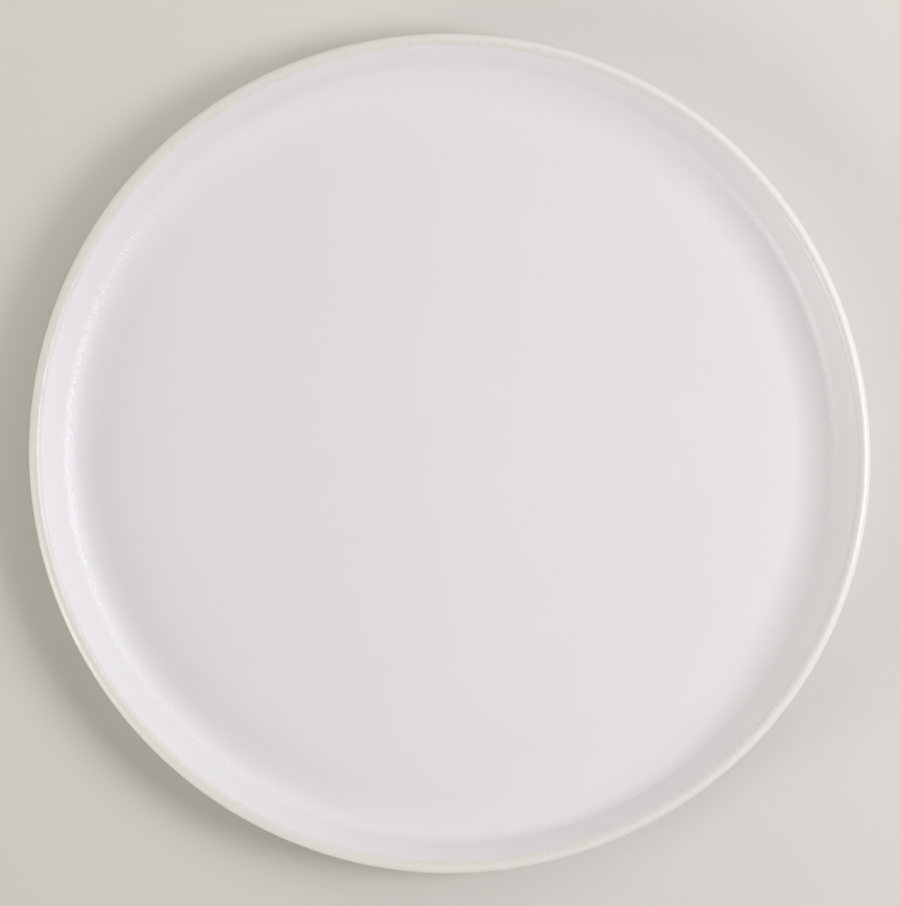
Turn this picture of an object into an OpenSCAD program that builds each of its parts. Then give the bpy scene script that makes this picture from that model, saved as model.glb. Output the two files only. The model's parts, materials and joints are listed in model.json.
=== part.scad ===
// Coupe dinner plate in stoneware: a round plate with no flat rim, whose floor
// turns up in one sweep to a rounded lip. The clay is one turned piece. Each
// patch of glaze is a coat of even thickness that lies on the clay.
//
// The outline is half of the plate's section, right of its axis, drawn as a
// walk: from the middle of the well outwards, over the lip, and back under
// the plate to its axis. The coat is always on the left of the walk.

/* [Overall] */
// Diameter over the lip, with its glaze
plate_d = 270; // [240:1:310]
// Height from the table to the top of the lip
plate_h = 21.2; // [18.5:0.1:27]

/* [Lip and wall] */
// Thickness of the rounded lip, with its glaze
lip_t = 4.2; // [3.2:0.1:5.5]
// Slope of the inner wall below the lip, in degrees from level
inner_wall_a = 61; // [54:1:72]
// Slope of the outer wall below the lip, in degrees from level
outer_wall_a = 64; // [56:1:74]
// Radius of the cove where the well turns up into the wall
cove_r = 6.7; // [4.5:0.1:11]
// Thickness of the turn from floor to wall, with its glaze on both sides
turn_t = 4.5; // [3.2:0.1:6]

/* [Well] */
// Thickness of the floor in the middle, with its glaze
floor_t = 5; // [4:0.1:7]
// Steepest outward fall of the well, just before the gutter, in degrees
gutter_a = 2; // [0.5:0.5:4]
// Radius of the crown that leads from the level well into that fall
crown_r = 300; // [120:10:420]
// Radius of the gutter's bottom, which leads into the cove
gutter_r = 27; // [19:1:36]
// Slope at which the gutter's curve gives way to the cove's, in degrees
lead_a = 22; // [14:1:32]

/* [Foot ring] */
// Outer diameter of the ground face that the plate stands on
foot_d = 172; // [120:1:196]
// Width of that ground face
foot_face_w = 4; // [2:0.5:8]
// Height of the foot ring, which is also the depth of the recess inside it
foot_h = 2.4; // [1.8:0.1:4]
// Slope of the ring's two flanks, in degrees from level
flank_a = 80; // [65:1:88]
// Radius of the worn edges of the ground face
foot_edge_r = 0.6; // [0.2:0.1:1]
// Radius of the fillets where the ring joins the underside
foot_fillet_r = 1.4; // [0.6:0.1:2]
// Rise of the underside from the ring towards the wall, in degrees
underside_a = 1.5; // [0.5:0.5:4]

/* [Glaze] */
// Thickness of each glaze coat
glaze_t = 0.4; // [0.25:0.05:0.8]
// Height of the band of bare clay left round the foot
bare_h = 1; // [0.8:0.1:1.6]

/* [Hidden] */

// Colours of buff stoneware, of the satin white well and of the creamier lip.
clay_colour = "#b9a58a";
well_colour = "#e6dfe0";
lip_colour = "#d9d3ca";

// How finely the round stretches of the outline are stepped.
arc_step_a = 4;
arc_min_steps = 5;
turn_steps = 180;

// Turn that brings a heading back on itself, in degrees.
half_turn = 180;

// A straight stretch is never shorter than this share of the lip's thickness,
// so a fillet gives way before its wall does.
least_straight_share = 0.05;
least_straight = least_straight_share * lip_t;

// Levels of the finished surfaces.
lip_r = lip_t / 2;
well_z = foot_h + floor_t;

// The drop from the lip's top to the well is shared by the lip's inner curve,
// the straight wall, the cove and the gutter, less what the crown gives back.
well_depth = plate_h - well_z;
crown_rise = crown_r * (1 - cos(gutter_a));
gutter_drop = gutter_r * (cos(gutter_a) - cos(lead_a));
lip_drop = lip_r * (1 - cos(inner_wall_a));
cove_and_wall = well_depth + crown_rise - gutter_drop - lip_drop;
cove_drop_room = cove_and_wall - least_straight * sin(inner_wall_a);
cove_fit_r = min(cove_r, cove_drop_room / (cos(lead_a) - cos(inner_wall_a)));
cove_drop = cove_fit_r * (cos(lead_a) - cos(inner_wall_a));
inner_wall_len = (cove_and_wall - cove_drop) / sin(inner_wall_a);

// What is left of the radius is the level middle of the well.
crown_run = crown_r * sin(gutter_a);
gutter_run = gutter_r * (sin(gutter_a) + sin(lead_a));
cove_run = cove_fit_r * (sin(inner_wall_a) - sin(lead_a));
wall_run = inner_wall_len * cos(inner_wall_a);
lip_run = lip_r * sin(inner_wall_a) + lip_r;
level_r = plate_d / 2 - lip_run - wall_run - cove_run - gutter_run - crown_run;

// The foot ring in bare clay, from its ground face up to the glaze line.
edge_rise = foot_edge_r * (1 - cos(flank_a));
bare_len = (bare_h - edge_rise) / sin(flank_a);
bare_reach = foot_edge_r * sin(flank_a) + bare_len * cos(flank_a);
foot_face_r = foot_d / 2;
glaze_line_r = foot_face_r + bare_reach;
recess_line_r = foot_face_r - foot_face_w - bare_reach;

// The glazed flanks go on up to the fillets at the underside and the recess.
coat_lift = glaze_t * cos(flank_a);
flank_rise = foot_h - bare_h + coat_lift;
flank_room = flank_rise / sin(flank_a) - least_straight;
outer_turn = flank_a - underside_a;
outer_fillet_r = min(foot_fillet_r, flank_room / tan(outer_turn / 2));
recess_fillet_r = min(foot_fillet_r, flank_room / tan(flank_a / 2));
outer_flank_len = flank_rise / sin(flank_a) - outer_fillet_r * tan(outer_turn / 2);
recess_flank_len = flank_rise / sin(flank_a) - recess_fillet_r * tan(flank_a / 2);

// Under the plate, the underside's straight, the haunch, the outer cove and
// the outer wall's straight carry the outline from the foot ring to the lip.
// This much is to be covered, across and up, when the haunch is taken off.
coat_reach = glaze_t * sin(flank_a);
corner_r = glaze_line_r + coat_reach + flank_rise / tan(flank_a);
fillet_len = outer_fillet_r * tan(outer_turn / 2);
haunch_r = gutter_r + turn_t;
across = plate_d / 2 - lip_r + lip_r * sin(outer_wall_a) - corner_r
    - fillet_len * cos(underside_a)
    - haunch_r * (sin(lead_a) - sin(underside_a));
up = plate_h - lip_r - lip_r * cos(outer_wall_a) - foot_h
    - fillet_len * sin(underside_a)
    - haunch_r * (cos(underside_a) - cos(lead_a));

// The outer cove follows the inner one at the turn's thickness, but gives way
// where the outer wall would have no straight left. Both straights then take
// the lengths that close the outline.
between_a = outer_wall_a - underside_a;
square_up = up * cos(underside_a) - across * sin(underside_a);
cove_share = cos(lead_a - underside_a) - cos(between_a);
outer_cove_room = (square_up - least_straight * sin(between_a)) / cove_share;
outer_cove_r = min(cove_fit_r + turn_t, outer_cove_room);
outer_wall_len = (square_up - outer_cove_r * cove_share) / sin(between_a);
underside_len = (across - outer_cove_r * (sin(outer_wall_a) - sin(lead_a))
    - outer_wall_len * cos(outer_wall_a)) / cos(underside_a);

// A place on the walk is [radius, height, heading]. A move is [distance] for
// a straight, or [radius, turn] for an arc, where a turn to the left is above
// zero.
function last(list) = list[len(list) - 1];
function straight(place, distance) =
    [[place.x + distance * cos(place.z), place.y + distance * sin(place.z), place.z]];
function arc(place, radius, turn) =
    let (
        steps = max(arc_min_steps, ceil(abs(turn) / arc_step_a)),
        side = sign(turn),
        mid_x = place.x - side * radius * sin(place.z),
        mid_y = place.y + side * radius * cos(place.z)
    )
    [for (i = [1:steps])
        let (heading = place.z + turn * i / steps)
        [mid_x + side * radius * sin(heading), mid_y - side * radius * cos(heading), heading]];
function move(place, way) =
    len(way) == 1 ? straight(place, way[0]) : arc(place, way[0], way[1]);
function walk(place, ways, i = 0) =
    i == len(ways)
        ? [place]
        : concat([place], walk_on(move(place, ways[i]), ways, i));
function walk_on(passed, ways, i) =
    concat([for (k = [0:1:len(passed) - 2]) passed[k]], walk(last(passed), ways, i + 1));

// Points of a walk, set back to its right by a depth.
function points(places, depth = 0) =
    [for (place = places)
        [max(0, place.x + depth * sin(place.z)), place.y - depth * cos(place.z)]];
function backwards(list) = [for (i = [len(list) - 1:-1:0]) list[i]];
function after_first(list) = [for (i = [1:1:len(list) - 1]) list[i]];

// Middle of the well to the inner shoulder of the lip.
inner_walk = walk([0, well_z, 0], [
    [level_r],
    [crown_r, -gutter_a],
    [gutter_r, gutter_a + lead_a],
    [cove_fit_r, inner_wall_a - lead_a],
    [inner_wall_len]
]);

// Over the lip, down the outer wall and along the underside to the glaze line.
outer_walk = walk(last(inner_walk), [
    [lip_r, -inner_wall_a],
    [lip_r, outer_wall_a - half_turn],
    [outer_wall_len],
    [outer_cove_r, lead_a - outer_wall_a],
    [haunch_r, underside_a - lead_a],
    [underside_len],
    [outer_fillet_r, outer_turn],
    [outer_flank_len]
]);

// Round the bare foot ring.
bare_walk = walk([glaze_line_r, bare_h, flank_a - half_turn], [
    [bare_len],
    [foot_edge_r, -flank_a],
    [foot_face_w],
    [foot_edge_r, -flank_a],
    [bare_len]
]);

// From the glaze line inside the ring to the middle of the recess.
recess_walk = walk([recess_line_r - coat_reach, bare_h - coat_lift, -half_turn - flank_a], [
    [recess_flank_len],
    [recess_fillet_r, flank_a],
    [recess_line_r - coat_reach - flank_rise / tan(flank_a)
        - recess_fillet_r * tan(flank_a / 2)]
]);

// Turns an outline round the plate's axis.
module turned(outline) {
    rotate_extrude($fn = turn_steps) polygon(outline);
}

// A coat of glaze between a walk and the clay under it.
module coat(places) {
    turned(concat(points(places), backwards(points(places, glaze_t))));
}

module stoneware_body() {
    color(clay_colour)
        turned(concat(
            points(inner_walk, glaze_t),
            after_first(points(outer_walk, glaze_t)),
            after_first(points(bare_walk)),
            after_first(points(recess_walk, glaze_t))
        ));
}

module inner_glaze() {
    color(well_colour) coat(inner_walk);
}

module outer_glaze() {
    color(lip_colour) coat(outer_walk);
}

module foot_well_glaze() {
    color(lip_colour) coat(recess_walk);
}

stoneware_body();
inner_glaze();
outer_glaze();
foot_well_glaze();
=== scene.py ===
"""Looks of a coupe dinner plate in satin white stoneware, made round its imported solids.

The plate is one turned piece of clay with three coats of glaze. Each is drawn
here again as a smooth surface of revolution on a dense grid, with the small
unevenness of a plate that was pressed, dried and fired, and replaces the solid
of the same place. The rim, the well, the foot and the glaze lines lie where the
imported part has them, and the section's other sizes are the same as its own.
"""

import json
import logging
import math
from collections.abc import Callable
from dataclasses import dataclass
from enum import Enum
from functools import partial

import bpy
import numpy as np
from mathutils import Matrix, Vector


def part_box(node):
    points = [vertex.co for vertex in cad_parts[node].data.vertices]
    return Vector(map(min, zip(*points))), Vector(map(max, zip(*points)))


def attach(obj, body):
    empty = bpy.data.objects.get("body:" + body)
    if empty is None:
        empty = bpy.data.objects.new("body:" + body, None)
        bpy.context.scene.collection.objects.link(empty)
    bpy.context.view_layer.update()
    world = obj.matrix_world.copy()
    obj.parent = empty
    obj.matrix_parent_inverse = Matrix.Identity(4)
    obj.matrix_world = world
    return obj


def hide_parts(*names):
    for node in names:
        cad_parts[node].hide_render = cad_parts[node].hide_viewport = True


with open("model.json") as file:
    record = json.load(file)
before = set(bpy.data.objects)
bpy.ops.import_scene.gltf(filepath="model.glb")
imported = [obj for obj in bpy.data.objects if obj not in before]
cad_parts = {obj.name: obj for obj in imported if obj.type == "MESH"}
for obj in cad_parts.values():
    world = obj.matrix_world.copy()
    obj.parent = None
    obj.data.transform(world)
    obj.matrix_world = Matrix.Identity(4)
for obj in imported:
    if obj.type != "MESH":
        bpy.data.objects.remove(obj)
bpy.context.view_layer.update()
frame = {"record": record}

MM = 0.001
BODY = "root"

# Points of the section nearer than this, in metres, count as one.
SAME_PLACE = 1e-7

# An arc of the section has at least this many steps.
ARC_STEPS = 4

# Turn that brings a heading back on itself, in degrees.
HALF_TURN = 180

# Short names for types that recur. An Adder adds a node to one tree.
Array = np.ndarray
Object = bpy.types.Object
Socket = bpy.types.NodeSocket
Adder = Callable[..., bpy.types.Node]

log = logging.getLogger("coupe_plate")


# Colours and shader nodes


def linear(code: str) -> tuple[float, float, float, float]:
    """Turns an sRGB hex code into the linear colour that a shader takes.

    The curve is the sRGB standard's own: a straight line for the darkest
    values, and a power above it.

    Args:
        code: Six hex digits after a hash mark.

    Returns:
        Red, green and blue from 0 to 1 in linear light, and an alpha of 1.
    """
    parts = [int(code[i : i + 2], 16) / 255 for i in (1, 3, 5)]
    red, green, blue = (
        p / 12.92 if p <= 0.04045 else ((p + 0.055) / 1.055) ** 2.4 for p in parts
    )
    return (red, green, blue, 1.0)


def add_node(
    tree: bpy.types.NodeTree,
    kind: str,
    inputs: dict[str | int, object] | None = None,
    **settings: object,
) -> bpy.types.Node:
    """Adds one node, with its settings, its values and its incoming links.

    Args:
        tree: The node tree that takes it.
        kind: The node's type name, without the ShaderNode that it starts with.
        inputs: For each input's name or number, a value or the output socket
            that feeds it.
        settings: Properties of the node itself.

    Returns:
        The new node.
    """
    node = tree.nodes.new("ShaderNode" + kind)
    for name, value in settings.items():
        setattr(node, name, value)
    for key, value in (inputs or {}).items():
        if isinstance(value, Socket):
            tree.links.new(value, node.inputs[key])
        else:
            node.inputs[key].default_value = value
    return node


def new_material(name: str) -> tuple[bpy.types.Material, Adder]:
    """Starts an empty node material.

    Args:
        name: What the real material is called.

    Returns:
        The material, with no node in its tree, and what adds a node to it.
    """
    material = bpy.data.materials.new(name)
    material.use_nodes = True
    material.node_tree.nodes.clear()
    return material, partial(add_node, material.node_tree)


def linked(name: str, data: bpy.types.ID) -> Object:
    """Makes an object of some data and puts it into the scene.

    Args:
        name: The object's name.
        data: Its mesh, light or camera.

    Returns:
        The object, at the origin.
    """
    thing = bpy.data.objects.new(name, data)
    bpy.context.scene.collection.objects.link(thing)
    return thing


# The plate's section


@dataclass(frozen=True)
class Straight:
    """A straight stretch of the section.

    Attributes:
        length: How far it goes, in metres.
        spacing: Distance between its points, in metres.
    """

    length: float
    spacing: float


@dataclass(frozen=True)
class Arc:
    """A round stretch of the section.

    Attributes:
        radius: Its radius, in metres.
        turn: How far it turns, in degrees, above zero to the left.
        spacing: Distance between its points, in metres.
    """

    radius: float
    turn: float
    spacing: float


@dataclass(frozen=True)
class Section:
    """Points along a stretch of the section, in the order of the walk.

    Attributes:
        radius: Distance of each point from the plate's axis, in metres.
        height: Height of each point over the table, in metres.
        heading: Direction of the walk at each point, in radians.
    """

    radius: Array
    height: Array
    heading: Array

    def sunk(self, depth: float) -> "Section":
        """The same stretch set back to the walk's right, which is into the clay.

        Args:
            depth: How far it is set back, in metres.

        Returns:
            The stretch whose points are moved by depth times the sine of the
            heading across, and by minus depth times its cosine up.
        """
        across = np.maximum(self.radius + depth * np.sin(self.heading), 0.0)
        return Section(across, self.height - depth * np.cos(self.heading), self.heading)

    def picked(self, points: Array | slice) -> "Section":
        """The stretch with only the points that an index picks, in its order."""
        return Section(self.radius[points], self.height[points], self.heading[points])

    def every(self, step: int) -> "Section":
        """The stretch with only some of its points, its two ends among them.

        Args:
            step: One point in this many is kept.

        Returns:
            The thinned stretch.
        """
        last = len(self.radius) - 1
        return self.picked(np.unique(np.append(np.arange(0, last, step), last)))

    def backwards(self) -> "Section":
        """The stretch walked from its other end."""
        return self.picked(slice(None, None, -1))


def walk(start: tuple[float, float, float], moves: list[Straight | Arc]) -> Section:
    """Follows straights and arcs, each tangent to the last, from a place.

    On an arc with the middle M, a point lies at M plus the radius times the
    sine of its heading across, and minus the radius times the cosine up, with
    the radius below zero for a turn to the right.

    Args:
        start: Radius and height in metres, and heading in degrees.
        moves: The stretches, in order.

    Returns:
        Every point that is passed, the first and the last among them.
    """
    radius, height, heading = [np.array([v]) for v in (start[0], start[1], math.radians(start[2]))]
    for move in moves:
        r, z, way = radius[-1], height[-1], heading[-1]
        if isinstance(move, Straight):
            count = max(1, round(move.length / move.spacing))
            gone = np.linspace(0.0, move.length, count + 1)[1:]
            new_r, new_z = r + gone * math.cos(way), z + gone * math.sin(way)
            new_way = np.full(count, way)
        else:
            turn = math.radians(move.turn)
            side = math.copysign(move.radius, turn)
            count = max(ARC_STEPS, round(abs(turn) * move.radius / move.spacing))
            new_way = way + np.linspace(0.0, turn, count + 1)[1:]
            new_r = r + side * (np.sin(new_way) - math.sin(way))
            new_z = z - side * (np.cos(new_way) - math.cos(way))
        radius = np.append(radius, new_r)
        height = np.append(height, new_z)
        heading = np.append(heading, new_way)
    return Section(radius, height, heading)


def end_to_end(stretches: list[Section]) -> Section:
    """Puts stretches end to end, with all their points.

    Args:
        stretches: The stretches, in order.

    Returns:
        One stretch.
    """
    return Section(
        np.concatenate([s.radius for s in stretches]),
        np.concatenate([s.height for s in stretches]),
        np.concatenate([s.heading for s in stretches]),
    )


def joined(stretches: list[Section]) -> Section:
    """Puts stretches end to end, and drops each point that repeats the last.

    Args:
        stretches: The stretches, each starting where the one before it ends.

    Returns:
        One stretch.
    """
    whole = end_to_end(stretches)
    moved = np.hypot(np.diff(whole.radius), np.diff(whole.height)) > SAME_PLACE
    return whole.picked(np.append(True, moved))


@dataclass(frozen=True)
class Spacing:
    """Distances in metres between the section's points, each on its own stretch."""

    level: float = 2.4 * MM
    crown: float = 1.6 * MM
    gutter: float = 0.8 * MM
    cove: float = 0.5 * MM
    inner_wall: float = 0.4 * MM
    lip_inside: float = 0.12 * MM
    lip_outside: float = 0.14 * MM
    outer_wall: float = 0.6 * MM
    outer_cove: float = 0.8 * MM
    haunch: float = 1.2 * MM
    underside: float = 2.6 * MM
    fillet: float = 0.22 * MM
    flank: float = 0.3 * MM
    bare_flank: float = 0.2 * MM
    foot_edge: float = 0.1 * MM
    foot_face: float = 0.5 * MM


@dataclass(frozen=True)
class PlateSection:
    """The plate's half section, as the solids have it.

    Lengths are in metres and angles in degrees from level. The first six are
    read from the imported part, and the rest are the plate's other sizes.

    Attributes:
        rim_r: Radius over the lip, glaze included.
        rim_z: Height of the lip's top.
        well_z: Height of the level middle of the well.
        foot_r: Outer radius of the ground face of the foot.
        recess_z: Height of the recess inside the foot ring.
        bare_z: Height of the glaze line round the foot.
        glaze_t: Thickness of a glaze coat.
        lip_t: Thickness of the lip.
        turn_t: Thickness of the turn from floor to wall.
        inner_wall_a: Slope of the inner wall.
        outer_wall_a: Slope of the outer wall.
        cove_r: Radius of the cove.
        gutter_a: Steepest outward fall of the well before the gutter.
        crown_r: Radius of the curve into that fall.
        gutter_r: Radius of the gutter's bottom.
        lead_a: Slope where the gutter's curve gives way to the cove's.
        foot_face_w: Width of the foot's ground face.
        flank_a: Slope of the foot's flanks.
        foot_edge_r: Radius of the worn edges of the ground face.
        foot_fillet_r: Radius of the fillets above the foot's flanks.
        underside_a: Rise of the underside from foot to wall.
        spacing: How far apart the points of each stretch lie.
    """

    rim_r: float
    rim_z: float
    well_z: float
    foot_r: float
    recess_z: float
    bare_z: float
    glaze_t: float = 0.4 * MM
    lip_t: float = 4.2 * MM
    turn_t: float = 4.5 * MM
    inner_wall_a: float = 61.0
    outer_wall_a: float = 64.0
    cove_r: float = 6.7 * MM
    gutter_a: float = 2.0
    crown_r: float = 300.0 * MM
    gutter_r: float = 27.0 * MM
    lead_a: float = 22.0
    foot_face_w: float = 4.0 * MM
    flank_a: float = 80.0
    foot_edge_r: float = 0.6 * MM
    foot_fillet_r: float = 1.4 * MM
    underside_a: float = 1.5
    spacing: Spacing = Spacing()

    def inner(self) -> Section:
        """The glazed surface from the middle of the well to the lip's shoulder.

        The wall's straight takes what the lip, cove, gutter and crown leave of
        the height, and the level middle takes what they leave of the radius.

        Returns:
            That stretch of the walk.
        """
        wall, lead, fall = (math.radians(a) for a in (self.inner_wall_a, self.lead_a, self.gutter_a))
        lip_r = self.lip_t / 2
        drop = lip_r * (1 - math.cos(wall))
        drop += self.cove_r * (math.cos(lead) - math.cos(wall))
        drop += self.gutter_r * (math.cos(fall) - math.cos(lead))
        drop -= self.crown_r * (1 - math.cos(fall))
        wall_len = (self.rim_z - self.well_z - drop) / math.sin(wall)
        run = lip_r * (1 + math.sin(wall)) + wall_len * math.cos(wall)
        run += self.cove_r * (math.sin(wall) - math.sin(lead))
        run += self.gutter_r * (math.sin(lead) + math.sin(fall))
        run += self.crown_r * math.sin(fall)
        gap = self.spacing
        return walk(
            (0.0, self.well_z, 0.0),
            [
                Straight(self.rim_r - run, gap.level),
                Arc(self.crown_r, -self.gutter_a, gap.crown),
                Arc(self.gutter_r, self.gutter_a + self.lead_a, gap.gutter),
                Arc(self.cove_r, self.inner_wall_a - self.lead_a, gap.cove),
                Straight(wall_len, gap.inner_wall),
            ],
        )

    def flank_rise(self) -> float:
        """Height of a glazed flank's corner over the end of its coat."""
        return self.recess_z - self.bare_z

    def coat_end_r(self) -> float:
        """Adds up the foot ring's face, worn edge, bare flank and coat.

        Returns:
            Radius of the outer coat's end at the glaze line.
        """
        flank = math.radians(self.flank_a)
        lift = self.glaze_t * math.cos(flank)
        edge_rise = self.foot_edge_r * (1 - math.cos(flank))
        bare = (self.bare_z + lift - edge_rise) / math.sin(flank)
        reach = self.foot_edge_r * math.sin(flank) + bare * math.cos(flank)
        return self.foot_r + reach + self.glaze_t * math.sin(flank)

    def outer(self, shoulder: Section) -> Section:
        """The glazed surface over the lip and down to the glaze line.

        The outer wall's and the underside's straights are the two lengths that
        close the outline across and up, found from the two equations that the
        sums of all the stretches give.

        Args:
            shoulder: The inner stretch, whose last point this one starts from.

        Returns:
            That stretch of the walk.
        """
        flank, wall, lead, under = (
            math.radians(a)
            for a in (self.flank_a, self.outer_wall_a, self.lead_a, self.underside_a)
        )
        lip_r = self.lip_t / 2
        haunch_r, outer_cove_r = self.gutter_r + self.turn_t, self.cove_r + self.turn_t
        fillet = self.foot_fillet_r * math.tan((flank - under) / 2)
        corner_r = self.coat_end_r() + self.flank_rise() / math.tan(flank)
        across = self.rim_r - lip_r + lip_r * math.sin(wall) - corner_r
        across -= fillet * math.cos(under) + haunch_r * (math.sin(lead) - math.sin(under))
        across -= outer_cove_r * (math.sin(wall) - math.sin(lead))
        up = self.rim_z - lip_r * (1 + math.cos(wall)) - self.recess_z
        up -= fillet * math.sin(under) + haunch_r * (math.cos(under) - math.cos(lead))
        up -= outer_cove_r * (math.cos(lead) - math.cos(wall))
        between = math.sin(wall - under)
        under_len = (across * math.sin(wall) - up * math.cos(wall)) / between
        wall_len = (up * math.cos(under) - across * math.sin(under)) / between
        gap = self.spacing
        return walk(
            (shoulder.radius[-1], shoulder.height[-1], math.degrees(shoulder.heading[-1])),
            [
                Arc(lip_r, -self.inner_wall_a, gap.lip_inside),
                Arc(lip_r, self.outer_wall_a - HALF_TURN, gap.lip_outside),
                Straight(wall_len, gap.outer_wall),
                Arc(outer_cove_r, self.lead_a - self.outer_wall_a, gap.outer_cove),
                Arc(haunch_r, self.underside_a - self.lead_a, gap.haunch),
                Straight(under_len, gap.underside),
                Arc(self.foot_fillet_r, self.flank_a - self.underside_a, gap.fillet),
                Straight(self.flank_rise() / math.sin(flank) - fillet, gap.flank),
            ],
        )

    def foot(self) -> Section:
        """The bare clay round the foot.

        Returns:
            The walk from the outer glaze line to the one inside the ring.
        """
        flank = math.radians(self.flank_a)
        lift = self.glaze_t * math.cos(flank)
        line_z = self.bare_z + lift
        line_r = self.coat_end_r() - self.glaze_t * math.sin(flank)
        bare = (line_z - self.foot_edge_r * (1 - math.cos(flank))) / math.sin(flank)
        bare_flank = Straight(bare, self.spacing.bare_flank)
        edge = Arc(self.foot_edge_r, -self.flank_a, self.spacing.foot_edge)
        face = Straight(self.foot_face_w, self.spacing.foot_face)
        start = (line_r, line_z, self.flank_a - HALF_TURN)
        return walk(start, [bare_flank, edge, face, edge, bare_flank])

    def recess(self) -> Section:
        """The glazed recess inside the foot ring.

        Returns:
            The walk from the glaze line to the axis.
        """
        flank = math.radians(self.flank_a)
        start_r = self.foot_r - self.foot_face_w - (self.coat_end_r() - self.foot_r)
        fillet = self.foot_fillet_r * math.tan(flank / 2)
        level = start_r - self.flank_rise() / math.tan(flank) - fillet
        return walk(
            (start_r, self.bare_z, -HALF_TURN - self.flank_a),
            [
                Straight(self.flank_rise() / math.sin(flank) - fillet, self.spacing.flank),
                Arc(self.foot_fillet_r, self.flank_a, self.spacing.fillet),
                Straight(level, self.spacing.underside),
            ],
        )


def section_from_solids() -> PlateSection:
    """Reads the section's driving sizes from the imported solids' boxes and mounts.

    Returns:
        The section whose rim, well, foot and glaze lines lie where theirs do.
    """
    _, coat_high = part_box("outer_glaze")
    recess_low, recess_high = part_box("foot_well_glaze")
    mounts = {mount["name"]: mount["pos_m"] for mount in frame["record"]["mounts"]}
    face_middle_r, _, _ = mounts["foot_face"]
    _, _, well_z = mounts["well_face"]
    return PlateSection(
        rim_r=coat_high.x,
        rim_z=coat_high.z,
        well_z=well_z,
        foot_r=face_middle_r + PlateSection.foot_face_w / 2,
        recess_z=recess_high.z - PlateSection.glaze_t,
        bare_z=recess_low.z,
    )


# The hand of the maker and the kiln


@dataclass(frozen=True)
class Wave:
    """One slow wave across the well's floor.

    Attributes:
        across: Share of X in the way that it runs.
        along: Share of Y in that way.
        width: Distance over which its angle grows by a radian, in metres.
        start: Its angle in the middle of the plate, in radians.
    """

    across: float
    along: float
    width: float
    start: float


@dataclass(frozen=True)
class HandShape:
    """How far the fired plate is from a perfect turned form.

    Lengths are in metres and angles in degrees, counter-clockwise from +X.

    Attributes:
        oval: How far the rim stands out at the ends of its long axis.
        oval_a: Direction of that axis.
        square: The same for the rim's four-fold unevenness.
        square_a: Direction of one of its four swells.
        five: The same for its five-fold unevenness.
        five_a: Direction of one of its five swells.
        still_r: Radius inside which nothing is pushed out of round, and outside
            which the floor has no roll.
        dome: Height of the slight dome in the middle of the well.
        dome_r: Radius at which that dome is steepest.
        roll: Height of the slow unevenness of the well's floor.
        waves: What that unevenness is the mean of.
    """

    oval: float = 0.37 * MM
    oval_a: float = 143.5
    square: float = 0.14 * MM
    square_a: float = -34.0
    five: float = 0.09 * MM
    five_a: float = -21.0
    still_r: float = 95.0 * MM
    dome: float = 0.50 * MM
    dome_r: float = 27.0 * MM
    roll: float = 0.03 * MM
    waves: tuple[Wave, ...] = (
        Wave(across=1.0, along=0.4, width=17 * MM, start=0.7),
        Wave(across=-0.5, along=1.0, width=14 * MM, start=2.1),
        Wave(across=1.0, along=-1.0, width=23 * MM, start=-1.3),
    )

    def outwards(self, radius: Array, angle: Array, rim_r: float) -> Array:
        """How far each point is pushed from the axis.

        The rim swells as the sum of three cosines of two, four and five times
        the angle. The swell grows as the square of the way from still_r out.

        Args:
            radius: The points' radii.
            angle: The points' angles, in radians.
            rim_r: The rim's radius.

        Returns:
            The push of each point, in metres.
        """
        swell = self.oval * np.cos(2 * (angle - math.radians(self.oval_a)))
        swell = swell + self.square * np.cos(4 * (angle - math.radians(self.square_a)))
        swell = swell + self.five * np.cos(5 * (angle - math.radians(self.five_a)))
        way = np.clip((radius - self.still_r) / (rim_r - self.still_r), 0.0, 1.0)
        return swell * way**2

    def upwards(self, radius: Array, angle: Array) -> Array:
        """How far each point of the floor is lifted.

        The dome is a bell curve of the radius. The roll is the mean of some
        slow waves across the plate, each a cosine along its own direction,
        faded out towards the gutter.

        Args:
            radius: The points' radii.
            angle: The points' angles, in radians.

        Returns:
            The lift of each point, in metres.
        """
        x, y = radius * np.cos(angle), radius * np.sin(angle)
        bell = self.dome * np.exp(-0.5 * (radius / self.dome_r) ** 2)
        total = sum(
            np.cos((wave.across * x + wave.along * y) / wave.width + wave.start)
            for wave in self.waves
        )
        fade = np.clip(1 - radius / self.still_r, 0.0, 1.0)
        return bell + self.roll / len(self.waves) * total * fade


# Meshes


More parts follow.
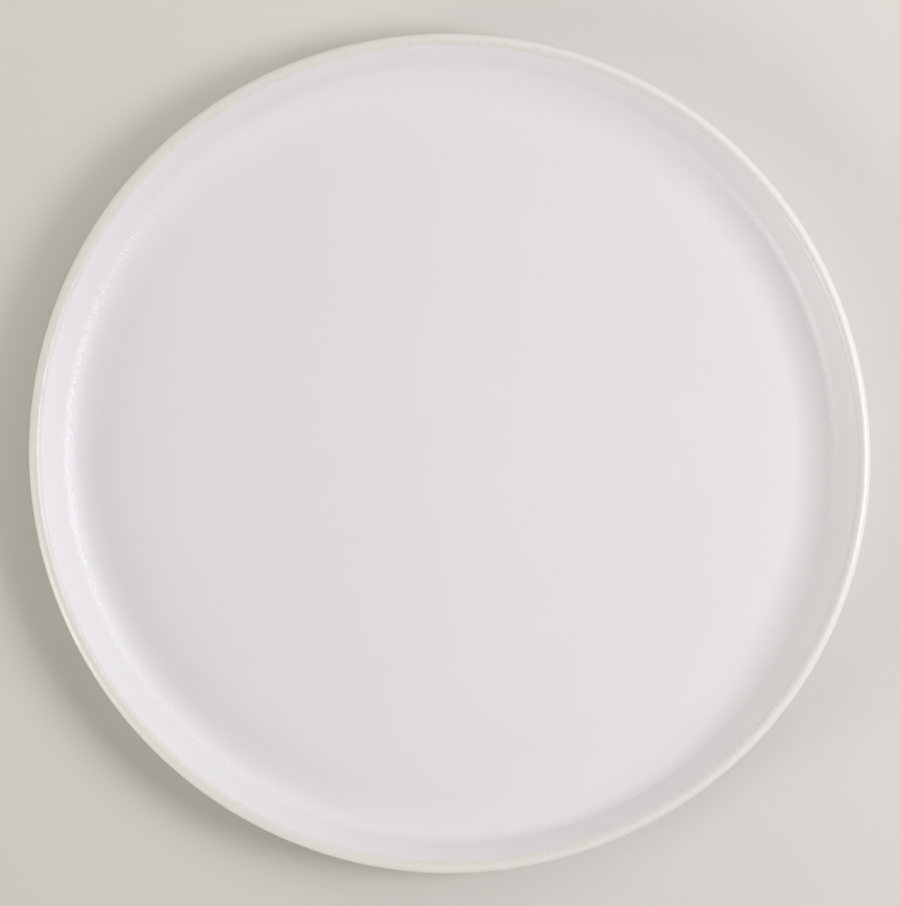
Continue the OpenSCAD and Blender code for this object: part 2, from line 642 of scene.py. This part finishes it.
@dataclass(frozen=True)
class Turner:
    """Turns stretches of the section into closed meshes.

    Attributes:
        section: The plate's section.
        hand: The unevenness that every piece shares.
        steps: Number of steps round the axis.
    """

    section: PlateSection
    hand: HandShape
    steps: int = 640

    def place(self, radius: Array, height: Array, angle: Array) -> Array:
        """Works out where points of the section come to lie.

        A point lies at its radius, pushed out by the hand's swell, times the
        cosine and sine of its angle, and at its height, lifted by the dome and
        roll of the floor above the recess.

        Args:
            radius: The points' radii.
            height: The points' heights.
            angle: The points' angles, in radians.

        Returns:
            An array of points, three numbers each.
        """
        out = radius + self.hand.outwards(radius, angle, self.section.rim_r)
        middle = (self.section.well_z + self.section.recess_z) / 2
        lift = np.where(height > middle, self.hand.upwards(radius, angle), 0.0)
        return np.stack([out * np.cos(angle), out * np.sin(angle), height + lift], axis=-1)

    def solid(self, name: str, outline: Section, marks: dict[str, Array] | None = None) -> Object:
        """Turns an outline round the axis and closes it.

        Row i, column j of the grid is the outline's point i at the angle of
        step j. An outline that starts and ends on the axis gets one point at
        each pole, with a fan round it. Any other is closed on itself.

        Args:
            name: The piece's name.
            outline: The outline, walked with the outside on its left.
            marks: Shares from 0 to 1 for each point, by the name of the
                attribute that carries them to the finish.

        Returns:
            The object, at the origin, smooth shaded.
        """
        count, steps = len(outline.radius), self.steps
        to_axis = max(outline.radius[0], outline.radius[-1]) < SAME_PLACE
        angle = np.linspace(0.0, 2 * math.pi, steps, endpoint=False)
        rows = np.arange(1, count - 1) if to_axis else np.arange(count)
        grid = self.place(outline.radius[rows, None], outline.height[rows, None], angle[None, :])
        points = grid.reshape(-1, 3)
        values = {mark: np.repeat(share[rows], steps) for mark, share in (marks or {}).items()}
        row = np.arange(len(rows) - 1 if to_axis else len(rows))
        below = row[:, None] * steps
        above = ((row[:, None] + 1) % len(rows)) * steps
        here, there = np.arange(steps)[None, :], (np.arange(steps)[None, :] + 1) % steps
        quads = np.stack([below + here, above + here, above + there, below + there], axis=-1)
        faces = quads.reshape(-1, 4)
        fans = np.zeros((0, 3), int)
        if to_axis:
            poles = self.place(outline.radius[[0, -1]], outline.height[[0, -1]], np.zeros(2))
            first, last = len(points), len(points) + 1
            points = np.vstack([points, poles])
            for mark, share in (marks or {}).items():
                values[mark] = np.append(values[mark], share[[0, -1]])
            ends = (len(rows) - 1) * steps
            here, there = here[0], there[0]
            start = np.stack([np.full(steps, first), here, there], axis=-1)
            stop = np.stack([np.full(steps, last), ends + there, ends + here], axis=-1)
            fans = np.vstack([start, stop])
        return self._object(name, points, faces, fans, values)

    def _object(
        self, name: str, points: Array, quads: Array, fans: Array, values: dict[str, Array]
    ) -> Object:
        """Puts points, quads and triangles into a mesh with smooth faces.

        Args:
            name: The piece's name.
            points: Points, three numbers each.
            quads: Faces of four points.
            fans: Faces of three points.
            values: Attributes by name, a number for each point.

        Returns:
            The linked object.
        """
        mesh = bpy.data.meshes.new(name)
        corners = np.concatenate([quads.ravel(), fans.ravel()]).astype(np.int32)
        starts = np.concatenate(
            [np.arange(len(quads)) * 4, len(quads) * 4 + np.arange(len(fans)) * 3]
        ).astype(np.int32)
        mesh.vertices.add(len(points))
        mesh.vertices.foreach_set("co", points.astype(np.float32).ravel())
        mesh.loops.add(len(corners))
        mesh.loops.foreach_set("vertex_index", corners)
        mesh.polygons.add(len(starts))
        mesh.polygons.foreach_set("loop_start", starts)
        mesh.update(calc_edges=True)
        mesh.shade_smooth()
        for mark, share in values.items():
            kept = mesh.attributes.new(mark, "FLOAT", "POINT")
            kept.data.foreach_set("value", share.astype(np.float32))
        mesh.validate()
        return linked(name, mesh)


# Finishes

# Sockets of a Mix node of colours: its share, its two colours and its result.
SHARE, FIRST, SECOND, MIXED = 0, 6, 7, 2

# Most of a noise texture's values lie in this span.
NOISE_SPAN = {"From Min": 0.3, "From Max": 0.7}


@dataclass(frozen=True)
class SatinGlaze:
    """A satin white stoneware glaze, sprayed on and fired.

    To the eye it is a soft white without a mirror in it: fine crystals spread
    each highlight into a milky glow, the glassy skin between them adds a
    tighter glint, and the pebbled surface breaks that glint into grains.

    Lengths are in metres.

    Attributes:
        name: The material's name.
        colour: Colour of the full coat.
        cloud: Colour that the coat drifts to in faint clouds.
        break_and_shade_colour: Colour where the coat draws thin and the clay warms it, also darker as a
            painted shade on the lip's inner roll.
        speck_colour: Colour of the iron specks that melt through.
        roughness: Roughness of the crystals.
        rough_swing: How far the roughness strays from that with the grain.
        ior: Index of refraction of the glaze.
        skin: Share of the glassy skin.
        skin_rough: Roughness of that skin.
        cloud_w: Width of the clouds.
        fray_w: Width of the frays along a place where the coat draws thin.
        fray_low: Share of the thin colour that is left in the weakest fray.
        fray_high: The same in the strongest.
        pebble: Grain of the pebbled surface. The real one is about half as
            wide, too fine to show at 3 pixels to a millimetre, so it is drawn
            coarser.
        pebble_h: Height of that grain.
        pool_h: What is added to it where the coat has pooled.
        peel: Width of the slower orange peel.
        peel_h: Height of the peel.
        under_share: Share of both heights that shows in the light from under
            the skin, which is spread on its way out.
        speck_cell: Mean distance between places where a speck may lie.
        speck_r: Radius of the largest speck.
        speck_share: Share of those places that hold one.
    """

    name: str
    colour: str
    cloud: str
    break_and_shade_colour: str = "#dad6cf"
    speck_colour: str = "#a2988c"
    roughness: float = 0.55
    rough_swing: float = 0.06
    ior: float = 1.52
    skin: float = 1.0
    skin_rough: float = 0.31
    cloud_w: float = 22.0 * MM
    fray_w: float = 1.4 * MM
    fray_low: float = 0.3
    fray_high: float = 1.1
    pebble: float = 0.9 * MM
    pebble_h: float = 0.06 * MM
    pool_h: float = 0.22 * MM
    peel: float = 5.0 * MM
    peel_h: float = 0.020 * MM
    under_share: float = 0.25
    speck_cell: float = 16.0 * MM
    speck_r: float = 0.28 * MM
    speck_share: float = 0.08

    def make(self) -> bpy.types.Material:
        """Builds the glaze's node material.

        Returns:
            A material on object coordinates, with colour, roughness and bump.
        """
        material, add = new_material(self.name)
        place = add("TexCoord").outputs["Object"]
        pebbles = add("TexNoise", {"Vector": place, "Scale": 1 / self.pebble, "Detail": 1.0})
        grain = pebbles.outputs["Fac"]
        dull, glossy = self.roughness + self.rough_swing, self.roughness - self.rough_swing
        span = NOISE_SPAN | {"To Min": dull, "To Max": glossy}
        rough = add("MapRange", {"Value": grain} | span)
        shader = add(
            "BsdfPrincipled",
            {
                "Base Color": self._specked(add, place, self._ground(add, place)),
                "Roughness": rough.outputs["Result"],
                "IOR": self.ior,
                "Coat Weight": self.skin,
                "Coat Roughness": self.skin_rough,
                "Coat IOR": self.ior,
                "Normal": self._bump(add, place, grain, self.under_share),
                "Coat Normal": self._bump(add, place, grain, 1.0),
            },
        )
        add("OutputMaterial", {"Surface": shader.outputs["BSDF"]})
        return material

    def _ground(self, add: Adder, place: Socket) -> Socket:
        """Mixes the clouded coat with the colour where it has drawn thin, which is also a painted shade on
        the lip's inner roll.

        Args:
            add: What adds a node to the material.
            place: The coordinates.

        Returns:
            The colour without its specks.
        """
        cloud = add("TexNoise", {"Vector": place, "Scale": 1 / self.cloud_w, "Detail": 2.0})
        mix = {SHARE: cloud.outputs["Fac"], FIRST: linear(self.colour), SECOND: linear(self.cloud)}
        clouded = add("Mix", mix, data_type="RGBA").outputs[MIXED]
        # The thin coat's band is warmer where the clay shows, and darker as a painted shade on the lip's
        # inner roll.
        thin_and_shade = add("Attribute", attribute_name="breaking")
        fray = add("TexNoise", {"Vector": place, "Scale": 1 / self.fray_w, "Detail": 3.0})
        span = NOISE_SPAN | {"To Min": self.fray_low, "To Max": self.fray_high}
        frayed = add("MapRange", {"Value": fray.outputs["Fac"]} | span)
        both = {0: thin_and_shade.outputs["Fac"], 1: frayed.outputs["Result"]}
        broken_and_shaded = add("Math", both, operation="MULTIPLY", use_clamp=True)
        mix = {SHARE: broken_and_shaded.outputs["Value"], FIRST: clouded, SECOND: linear(self.break_and_shade_colour)}
        return add("Mix", mix, data_type="RGBA").outputs[MIXED]

    def _specked(self, add: Adder, place: Socket, ground: Socket) -> Socket:
        """Lays sparse specks over a colour.

        Each cell of the pattern draws a number. Only the highest draws get a
        speck, whose radius grows with the draw from none to the largest.

        Args:
            add: What adds a node to the material.
            place: The coordinates.
            ground: The colour that they lie on.

        Returns:
            The colour with its specks.
        """
        cells = add("TexVoronoi", {"Vector": place, "Scale": 1 / self.speck_cell})
        draw = add("SeparateColor", {"Color": cells.outputs["Color"]})
        span = {"From Min": 1 - self.speck_share, "To Max": self.speck_r / self.speck_cell}
        reach = add("MapRange", {"Value": draw.outputs["Red"]} | span)
        both = {0: cells.outputs["Distance"], 1: reach.outputs["Result"]}
        inside = add("Math", both, operation="LESS_THAN")
        mix = {SHARE: inside.outputs["Value"], FIRST: ground, SECOND: linear(self.speck_colour)}
        return add("Mix", mix, data_type="RGBA").outputs[MIXED]

    def _bump(self, add: Adder, place: Socket, grain: Socket, share: float) -> Socket:
        """Adds the fine pebbling over the slower orange peel.

        Args:
            add: What adds a node to the material.
            place: The coordinates.
            grain: The pebbled grain.
            share: Share of the heights that is given.

        Returns:
            The bumped normal.
        """
        peel = add("TexNoise", {"Vector": place, "Scale": 1 / self.peel, "Detail": 1.0})
        slow = add("Bump", {"Distance": self.peel_h * share, "Height": peel.outputs["Fac"]})
        pooled = add("Attribute", attribute_name="pooled")
        heights = {0: pooled.outputs["Fac"], 1: self.pool_h * share, 2: self.pebble_h * share}
        tall = add("Math", heights, operation="MULTIPLY_ADD")
        raised = {"Distance": tall.outputs["Value"], "Height": grain}
        fine = add("Bump", raised | {"Normal": slow.outputs["Normal"]})
        return fine.outputs["Normal"]


# The well has a cool white with hardly a tint in it. The lip and the outside
# are creamier, and their grain stands up all over instead of in the cove alone.
WELL_GLAZE = SatinGlaze("satin_white_stoneware_glaze", colour="#e5e4e4", cloud="#e7e6e6")
OUTSIDE_GLAZE = SatinGlaze(
    "cream_white_stoneware_glaze",
    colour="#e4e1dc",
    cloud="#e6e3de",
    skin=0.8,
    skin_rough=0.22,
    pebble_h=0.16 * MM,
)


@dataclass(frozen=True)
class BareStoneware:
    """Buff stoneware, fired bare and ground on the foot.

    To the eye it is a dry, sandy buff without any gloss: paler sand shows
    through the clay all over, and a dark iron grain melts out here and there.

    Lengths are in metres.

    Attributes:
        name: The material's name.
        colour: Colour of the fired clay.
        sand_colour: Colour of its paler sand.
        iron_colour: Colour of its iron grains.
        roughness: Roughness of the unglazed surface.
        grain: Size of the sand grains.
        grain_h: How far they stand out.
        iron_cell: Mean distance between iron grains.
        iron_core: Radius of a grain's full colour.
        iron_edge: Radius at which its colour has faded away.
    """

    name: str = "bare_buff_stoneware"
    colour: str = "#b59c7e"
    sand_colour: str = "#cdb899"
    iron_colour: str = "#6f523b"
    roughness: float = 0.88
    grain: float = 0.45 * MM
    grain_h: float = 0.05 * MM
    iron_cell: float = 2.2 * MM
    iron_core: float = 0.13 * MM
    iron_edge: float = 0.26 * MM

    def make(self) -> bpy.types.Material:
        """Builds the clay's node material.

        Returns:
            A material on object coordinates, with sandy colour and bump.
        """
        material, add = new_material(self.name)
        place = add("TexCoord").outputs["Object"]
        grain = add("TexNoise", {"Vector": place, "Scale": 1 / self.grain, "Detail": 4.0})
        sandy = add("MapRange", {"Value": grain.outputs["Fac"]} | NOISE_SPAN)
        mix = {SHARE: sandy.outputs["Result"], FIRST: linear(self.colour), SECOND: linear(self.sand_colour)}
        body = add("Mix", mix, data_type="RGBA").outputs[MIXED]
        cells = add("TexVoronoi", {"Vector": place, "Scale": 1 / self.iron_cell})
        core, edge = self.iron_core / self.iron_cell, self.iron_edge / self.iron_cell
        span = {"From Min": core, "From Max": edge, "To Min": 1.0, "To Max": 0.0}
        iron = add("MapRange", {"Value": cells.outputs["Distance"]} | span)
        mix = {SHARE: iron.outputs["Result"], FIRST: body, SECOND: linear(self.iron_colour)}
        coloured = add("Mix", mix, data_type="RGBA").outputs[MIXED]
        bump = add("Bump", {"Distance": self.grain_h, "Height": grain.outputs["Fac"]})
        looks = {"Base Color": coloured, "Roughness": self.roughness}
        shader = add("BsdfPrincipled", looks | {"Normal": bump.outputs["Normal"]})
        add("OutputMaterial", {"Surface": shader.outputs["BSDF"]})
        return material


# The plate's pieces


class Slot(Enum):
    """The record's material slots."""

    CLAY = "fired_clay"
    WHITE = "satin_white_glaze"
    CREAM = "cream_glaze"


@dataclass
class StonewarePlate:
    """The clay body and its three coats of glaze.

    Attributes:
        turner: What turns the section's stretches into meshes.
        hidden_step: One point in this many is kept on surfaces that never show.
        band: Width of the band on the lip's inner roll where the glaze breaks and a shade is painted.
        band_at: How far past the shoulder that band's middle lies.
        band_drop: How far under the shoulder the band is looked for.
        pool: Width of the ring in the cove where the glaze has pooled.
        pool_a: Slope at that ring's middle, in degrees.
    """

    turner: Turner
    hidden_step: int = 3
    band: float = 0.80 * MM
    band_at: float = 0.95 * MM
    band_drop: float = 2.4 * MM
    pool: float = 2.2 * MM
    pool_a: float = 34.0

    def breaking(self, stretch: Section, shoulder: tuple[float, float]) -> Array:
        """How thin the glaze has drawn at each point near the lip's inner roll, and so how much painted
        shade it gets there.

        It is a bell curve of the distance between the point and the middle of
        the band, which lies band_at outside the shoulder.

        Args:
            stretch: The stretch whose points are asked for.
            shoulder: Radius and height of the lip's inner shoulder.

        Returns:
            A share from 0 to 1 for each point.
        """
        shoulder_r, shoulder_z = shoulder
        near = stretch.height > shoulder_z - self.band_drop
        away = (stretch.radius - shoulder_r - self.band_at) / self.band
        return np.where(near, np.exp(-(away**2)), 0.0)

    def pooling(self, stretch: Section) -> Array:
        """How deep the glaze has pooled at each point of the inner surface.

        It is a bell curve of the distance from the place in the cove where the
        surface first reaches the slope pool_a.

        Args:
            stretch: The stretch whose points are asked for.

        Returns:
            A share from 0 to 1 for each point.
        """
        middle = stretch.radius[np.argmax(stretch.heading > math.radians(self.pool_a))]
        return np.exp(-(((stretch.radius - middle) / self.pool) ** 2))

    def under(self, stretch: Section) -> Section:
        """The clay's surface under a glazed stretch, with only some of its points."""
        return stretch.sunk(self.turner.section.glaze_t).every(self.hidden_step)

    def coat(self, name: str, stretch: Section, marks: dict[str, Array] | None = None) -> Object:
        """Makes a coat between a glazed stretch and the clay under it.

        Where the stretch ends on the axis, its outline starts with the clay's
        side, so that both of its ends lie on the axis.

        Args:
            name: The piece's name.
            stretch: The glazed surface.
            marks: Shares from 0 to 1 for each of its points, by name.

        Returns:
            The closed coat.
        """
        under = self.under(stretch).backwards()
        none = np.zeros(len(under.radius))
        order = -1 if stretch.radius[-1] < SAME_PLACE else 1
        outline = end_to_end([stretch, under][::order])
        values = {
            mark: np.concatenate([share, none][::order]) for mark, share in (marks or {}).items()
        }
        return self.turner.solid(name, outline, values)

    def build(self) -> list[Object]:
        """Builds the four pieces and gives each its finish.

        Returns:
            The pieces.
        """
        section = self.turner.section
        inner = section.inner()
        outer = section.outer(inner)
        foot, recess = section.foot(), section.recess()
        shoulder = (inner.radius[-1], inner.height[-1])
        clay = joined([self.under(inner), self.under(outer), foot, self.under(recess)])
        # The breaking band is partly the coat drawn thin and partly painted shade on the lip's inner roll.
        inner_marks = {"breaking": self.breaking(inner, shoulder), "pooled": self.pooling(inner)}
        outer_marks = {"breaking": self.breaking(outer, shoulder)}
        pieces = [
            self.turner.solid("fired_clay_body", clay),
            self.coat("well_and_cove_glaze", inner, inner_marks),
            self.coat("lip_and_outside_glaze", outer, outer_marks),
            self.coat("foot_recess_glaze", recess),
        ]
        cream = OUTSIDE_GLAZE.make()
        dressing = [
            ("stoneware_body", Slot.CLAY, BareStoneware().make()),
            ("inner_glaze", Slot.WHITE, WELL_GLAZE.make()),
            ("outer_glaze", Slot.CREAM, cream),
            ("foot_well_glaze", Slot.CREAM, cream),
        ]
        for piece, (node, slot, material) in zip(pieces, dressing, strict=True):
            piece.data.materials.append(material)
            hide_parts(node)
            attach(piece, BODY)
        return pieces


# The studio


@dataclass(frozen=True)
class Softbox:
    """An oblong soft light that looks at the plate.

    Attributes:
        name: The light's name.
        azimuth: Direction it stands in, in degrees counter-clockwise from +X.
        elevation: Its height over the table, in degrees.
        distance: How far it is from the plate's middle, in metres.
        width: Length of its level sides, in metres.
        height: Length of its other sides.
        power: Its power, in watts.
        colour: Its colour.
    """

    name: str
    azimuth: float
    elevation: float
    distance: float
    width: float
    height: float
    power: float
    colour: str

    def stand(self) -> Object:
        """Sets the light up.

        Its place is the distance times the cosines and sines of its two
        angles, and it is turned so that it shines along the way back.

        Returns:
            The light's object.
        """
        azimuth, elevation = math.radians(self.azimuth), math.radians(self.elevation)
        data = bpy.data.lights.new(self.name, "AREA")
        data.shape = "RECTANGLE"
        data.size = self.height
        data.size_y = self.width
        data.energy = self.power
        data.color = linear(self.colour)[:3]
        light = linked(self.name, data)
        level = self.distance * math.cos(elevation)
        up = self.distance * math.sin(elevation)
        light.location = (level * math.cos(azimuth), level * math.sin(azimuth), up)
        light.rotation_euler = (0.0, math.pi / 2 - elevation, azimuth)
        return light


@dataclass(frozen=True)
class Air:
    """The pale light of the room, even all over, with more near the horizon.

    Attributes:
        even_colour: Colour of the even light.
        even: Its strength.
        low_colour: Colour of the light near the horizon.
        low: Its strength at the horizon.
        fade: How fast that fades upwards, as a power.
    """

    even_colour: str
    even: float
    low_colour: str
    low: float
    fade: float = 4.0

    def fill(self) -> None:
        """Makes the world.

        The even light comes from everywhere. The low light's strength in a
        direction is low, times one minus the direction's height to the power
        fade. The two are added.
        """
        world = bpy.data.worlds.new("studio_air")
        world.use_nodes = True
        world.node_tree.nodes.clear()
        add = partial(add_node, world.node_tree)
        way = add("TexCoord").outputs["Generated"]
        up = add("SeparateXYZ", {0: way}).outputs["Z"]
        down = add("Math", {0: 1.0, 1: up}, operation="SUBTRACT", use_clamp=True)
        faded = add("Math", {0: down.outputs["Value"], 1: self.fade}, operation="POWER")
        dimmed = add("Math", {0: faded.outputs["Value"], 1: self.low}, operation="MULTIPLY")
        even = add("Background", {"Color": linear(self.even_colour), "Strength": self.even})
        strength = dimmed.outputs["Value"]
        low = add("Background", {"Color": linear(self.low_colour), "Strength": strength})
        both = add("AddShader", {0: even.outputs["Background"], 1: low.outputs["Background"]})
        add("OutputWorld", {"Surface": both.outputs["Shader"]})
        bpy.context.scene.world = world


@dataclass(frozen=True)
class PaintedBoard:
    """A sheet of board in matt paint, which serves as the table top.

    To the eye it is a plain warm grey without gloss, which grows evenly paler along one direction.

    Attributes:
        dark: Colour on its darker side.
        pale: Colour on its paler side.
        paler_a: Direction of the paler side, in degrees.
        drift: Distance over which the one turns into the other, in metres.
        roughness: Roughness of the paint.
        half: Half the length of its sides, in metres.
    """

    dark: str
    pale: str
    paler_a: float
    drift: float = 0.6
    roughness: float = 0.7
    half: float = 3.0

    def lay(self) -> Object:
        """Lays the board, a wide square under the plate.

        The share of the pale colour grows evenly along paler_a, and is a half
        under the plate's middle.

        Returns:
            The board.
        """
        mesh = bpy.data.meshes.new("table_top")
        half = self.half
        corners = [(-half, -half, 0.0), (half, -half, 0.0), (half, half, 0.0), (-half, half, 0.0)]
        mesh.from_pydata(corners, [], [(0, 1, 2, 3)])
        top = linked("table_top", mesh)
        material, add = new_material("painted_board")
        place = add("TexCoord").outputs["Object"]
        way = math.radians(self.paler_a)
        both = {0: place, 1: (math.cos(way), math.sin(way), 0.0)}
        along = add("VectorMath", both, operation="DOT_PRODUCT")
        span = {"From Min": -self.drift / 2, "From Max": self.drift / 2}
        share = add("MapRange", {"Value": along.outputs["Value"]} | span)
        mix = {SHARE: share.outputs["Result"], FIRST: linear(self.dark), SECOND: linear(self.pale)}
        paint = add("Mix", mix, data_type="RGBA").outputs[MIXED]
        shader = add("BsdfPrincipled", {"Base Color": paint, "Roughness": self.roughness})
        add("OutputMaterial", {"Surface": shader.outputs["BSDF"]})
        mesh.materials.append(material)
        return top


@dataclass(frozen=True)
class Studio:
    """The table, the lights round it and the camera over it.

    Attributes:
        rim_r: The plate's radius, in metres.
        rim_z: Height at which the plate is widest, in metres.
        frame_px: Width of the photograph, in pixels.
        frame_height_px: Height of the photograph.
        rim_px: Mean radius of the plate's outline in it.
        middle_px: Where the plate's middle lies in it, from its top left.
        camera_z: Height of the camera over the table, in metres.
        sensor: Width of the camera's sensor, in millimetres.
    """

    rim_r: float
    rim_z: float
    frame_px: float = 900.0
    frame_height_px: float = 906.0
    rim_px: float = 420.55
    middle_px: tuple[float, float] = (449.76, 453.13)
    camera_z: float = 1.0
    sensor: float = 36.0

    def camera(self) -> Object:
        """Hangs the camera over the plate, looking straight down.

        The lens is the sensor's width times the camera's distance to the rim,
        times the rim's share of the picture's width, over the rim's radius.

        Returns:
            The camera, which is made the scene's own.
        """
        data = bpy.data.cameras.new("overhead_camera")
        data.sensor_fit = "HORIZONTAL"
        data.sensor_width = self.sensor
        away = self.camera_z - self.rim_z
        data.lens = self.sensor * away * self.rim_px / self.frame_px / self.rim_r
        camera = linked("overhead_camera", data)
        scale = self.rim_r / self.rim_px
        right = (self.frame_px / 2 - self.middle_px[0]) * scale
        up = (self.middle_px[1] - self.frame_height_px / 2) * scale
        camera.location = (right, up, self.camera_z)
        bpy.context.scene.camera = camera
        return camera

    def open(self) -> None:
        """Sets up the table, the lights, the air and the camera.

        The lights' places, sizes and powers were fitted to the light and dark
        rings of the photographed plate.
        """
        PaintedBoard(dark="#cdcdc7", pale="#e1e0d9", paler_a=56.0).lay()
        lights = [
            Softbox("window_light", -2.0, 46.1, 1.20, width=0.40, height=0.55, power=6.82, colour="#f0f0ff"),
            Softbox("wall_light", 43.3, 48.4, 2.60, width=3.18, height=1.30, power=21.4, colour="#f9fdff"),
            Softbox("fill_light", 203.5, 25.5, 1.50, width=0.65, height=0.64, power=5.80, colour="#fffff9"),
            Softbox("low_lamp", 204.1, 7.6, 2.00, width=0.10, height=0.20, power=4.5, colour="#eef0ff"),
        ]
        for light in lights:
            light.stand()
        Air(even_colour="#fff3e6", even=0.327, low_colour="#fdfcff", low=0.953).fill()
        self.camera()
        bpy.context.scene.view_settings.view_transform = "Standard"
        log.info("studio: table, %d soft lights, air and camera", len(lights))


def main() -> None:
    """Builds the plate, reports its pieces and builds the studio."""
    logging.basicConfig(level=logging.INFO, format="%(name)s: %(message)s")
    section = section_from_solids()
    for piece in StonewarePlate(Turner(section, HandShape())).build():
        log.info("%s: %d points, %s", piece.name, len(piece.data.vertices), piece.active_material.name)
    Studio(rim_r=section.rim_r, rim_z=section.rim_z - section.lip_t / 2).open()


if __name__ == "__main__":
    main()
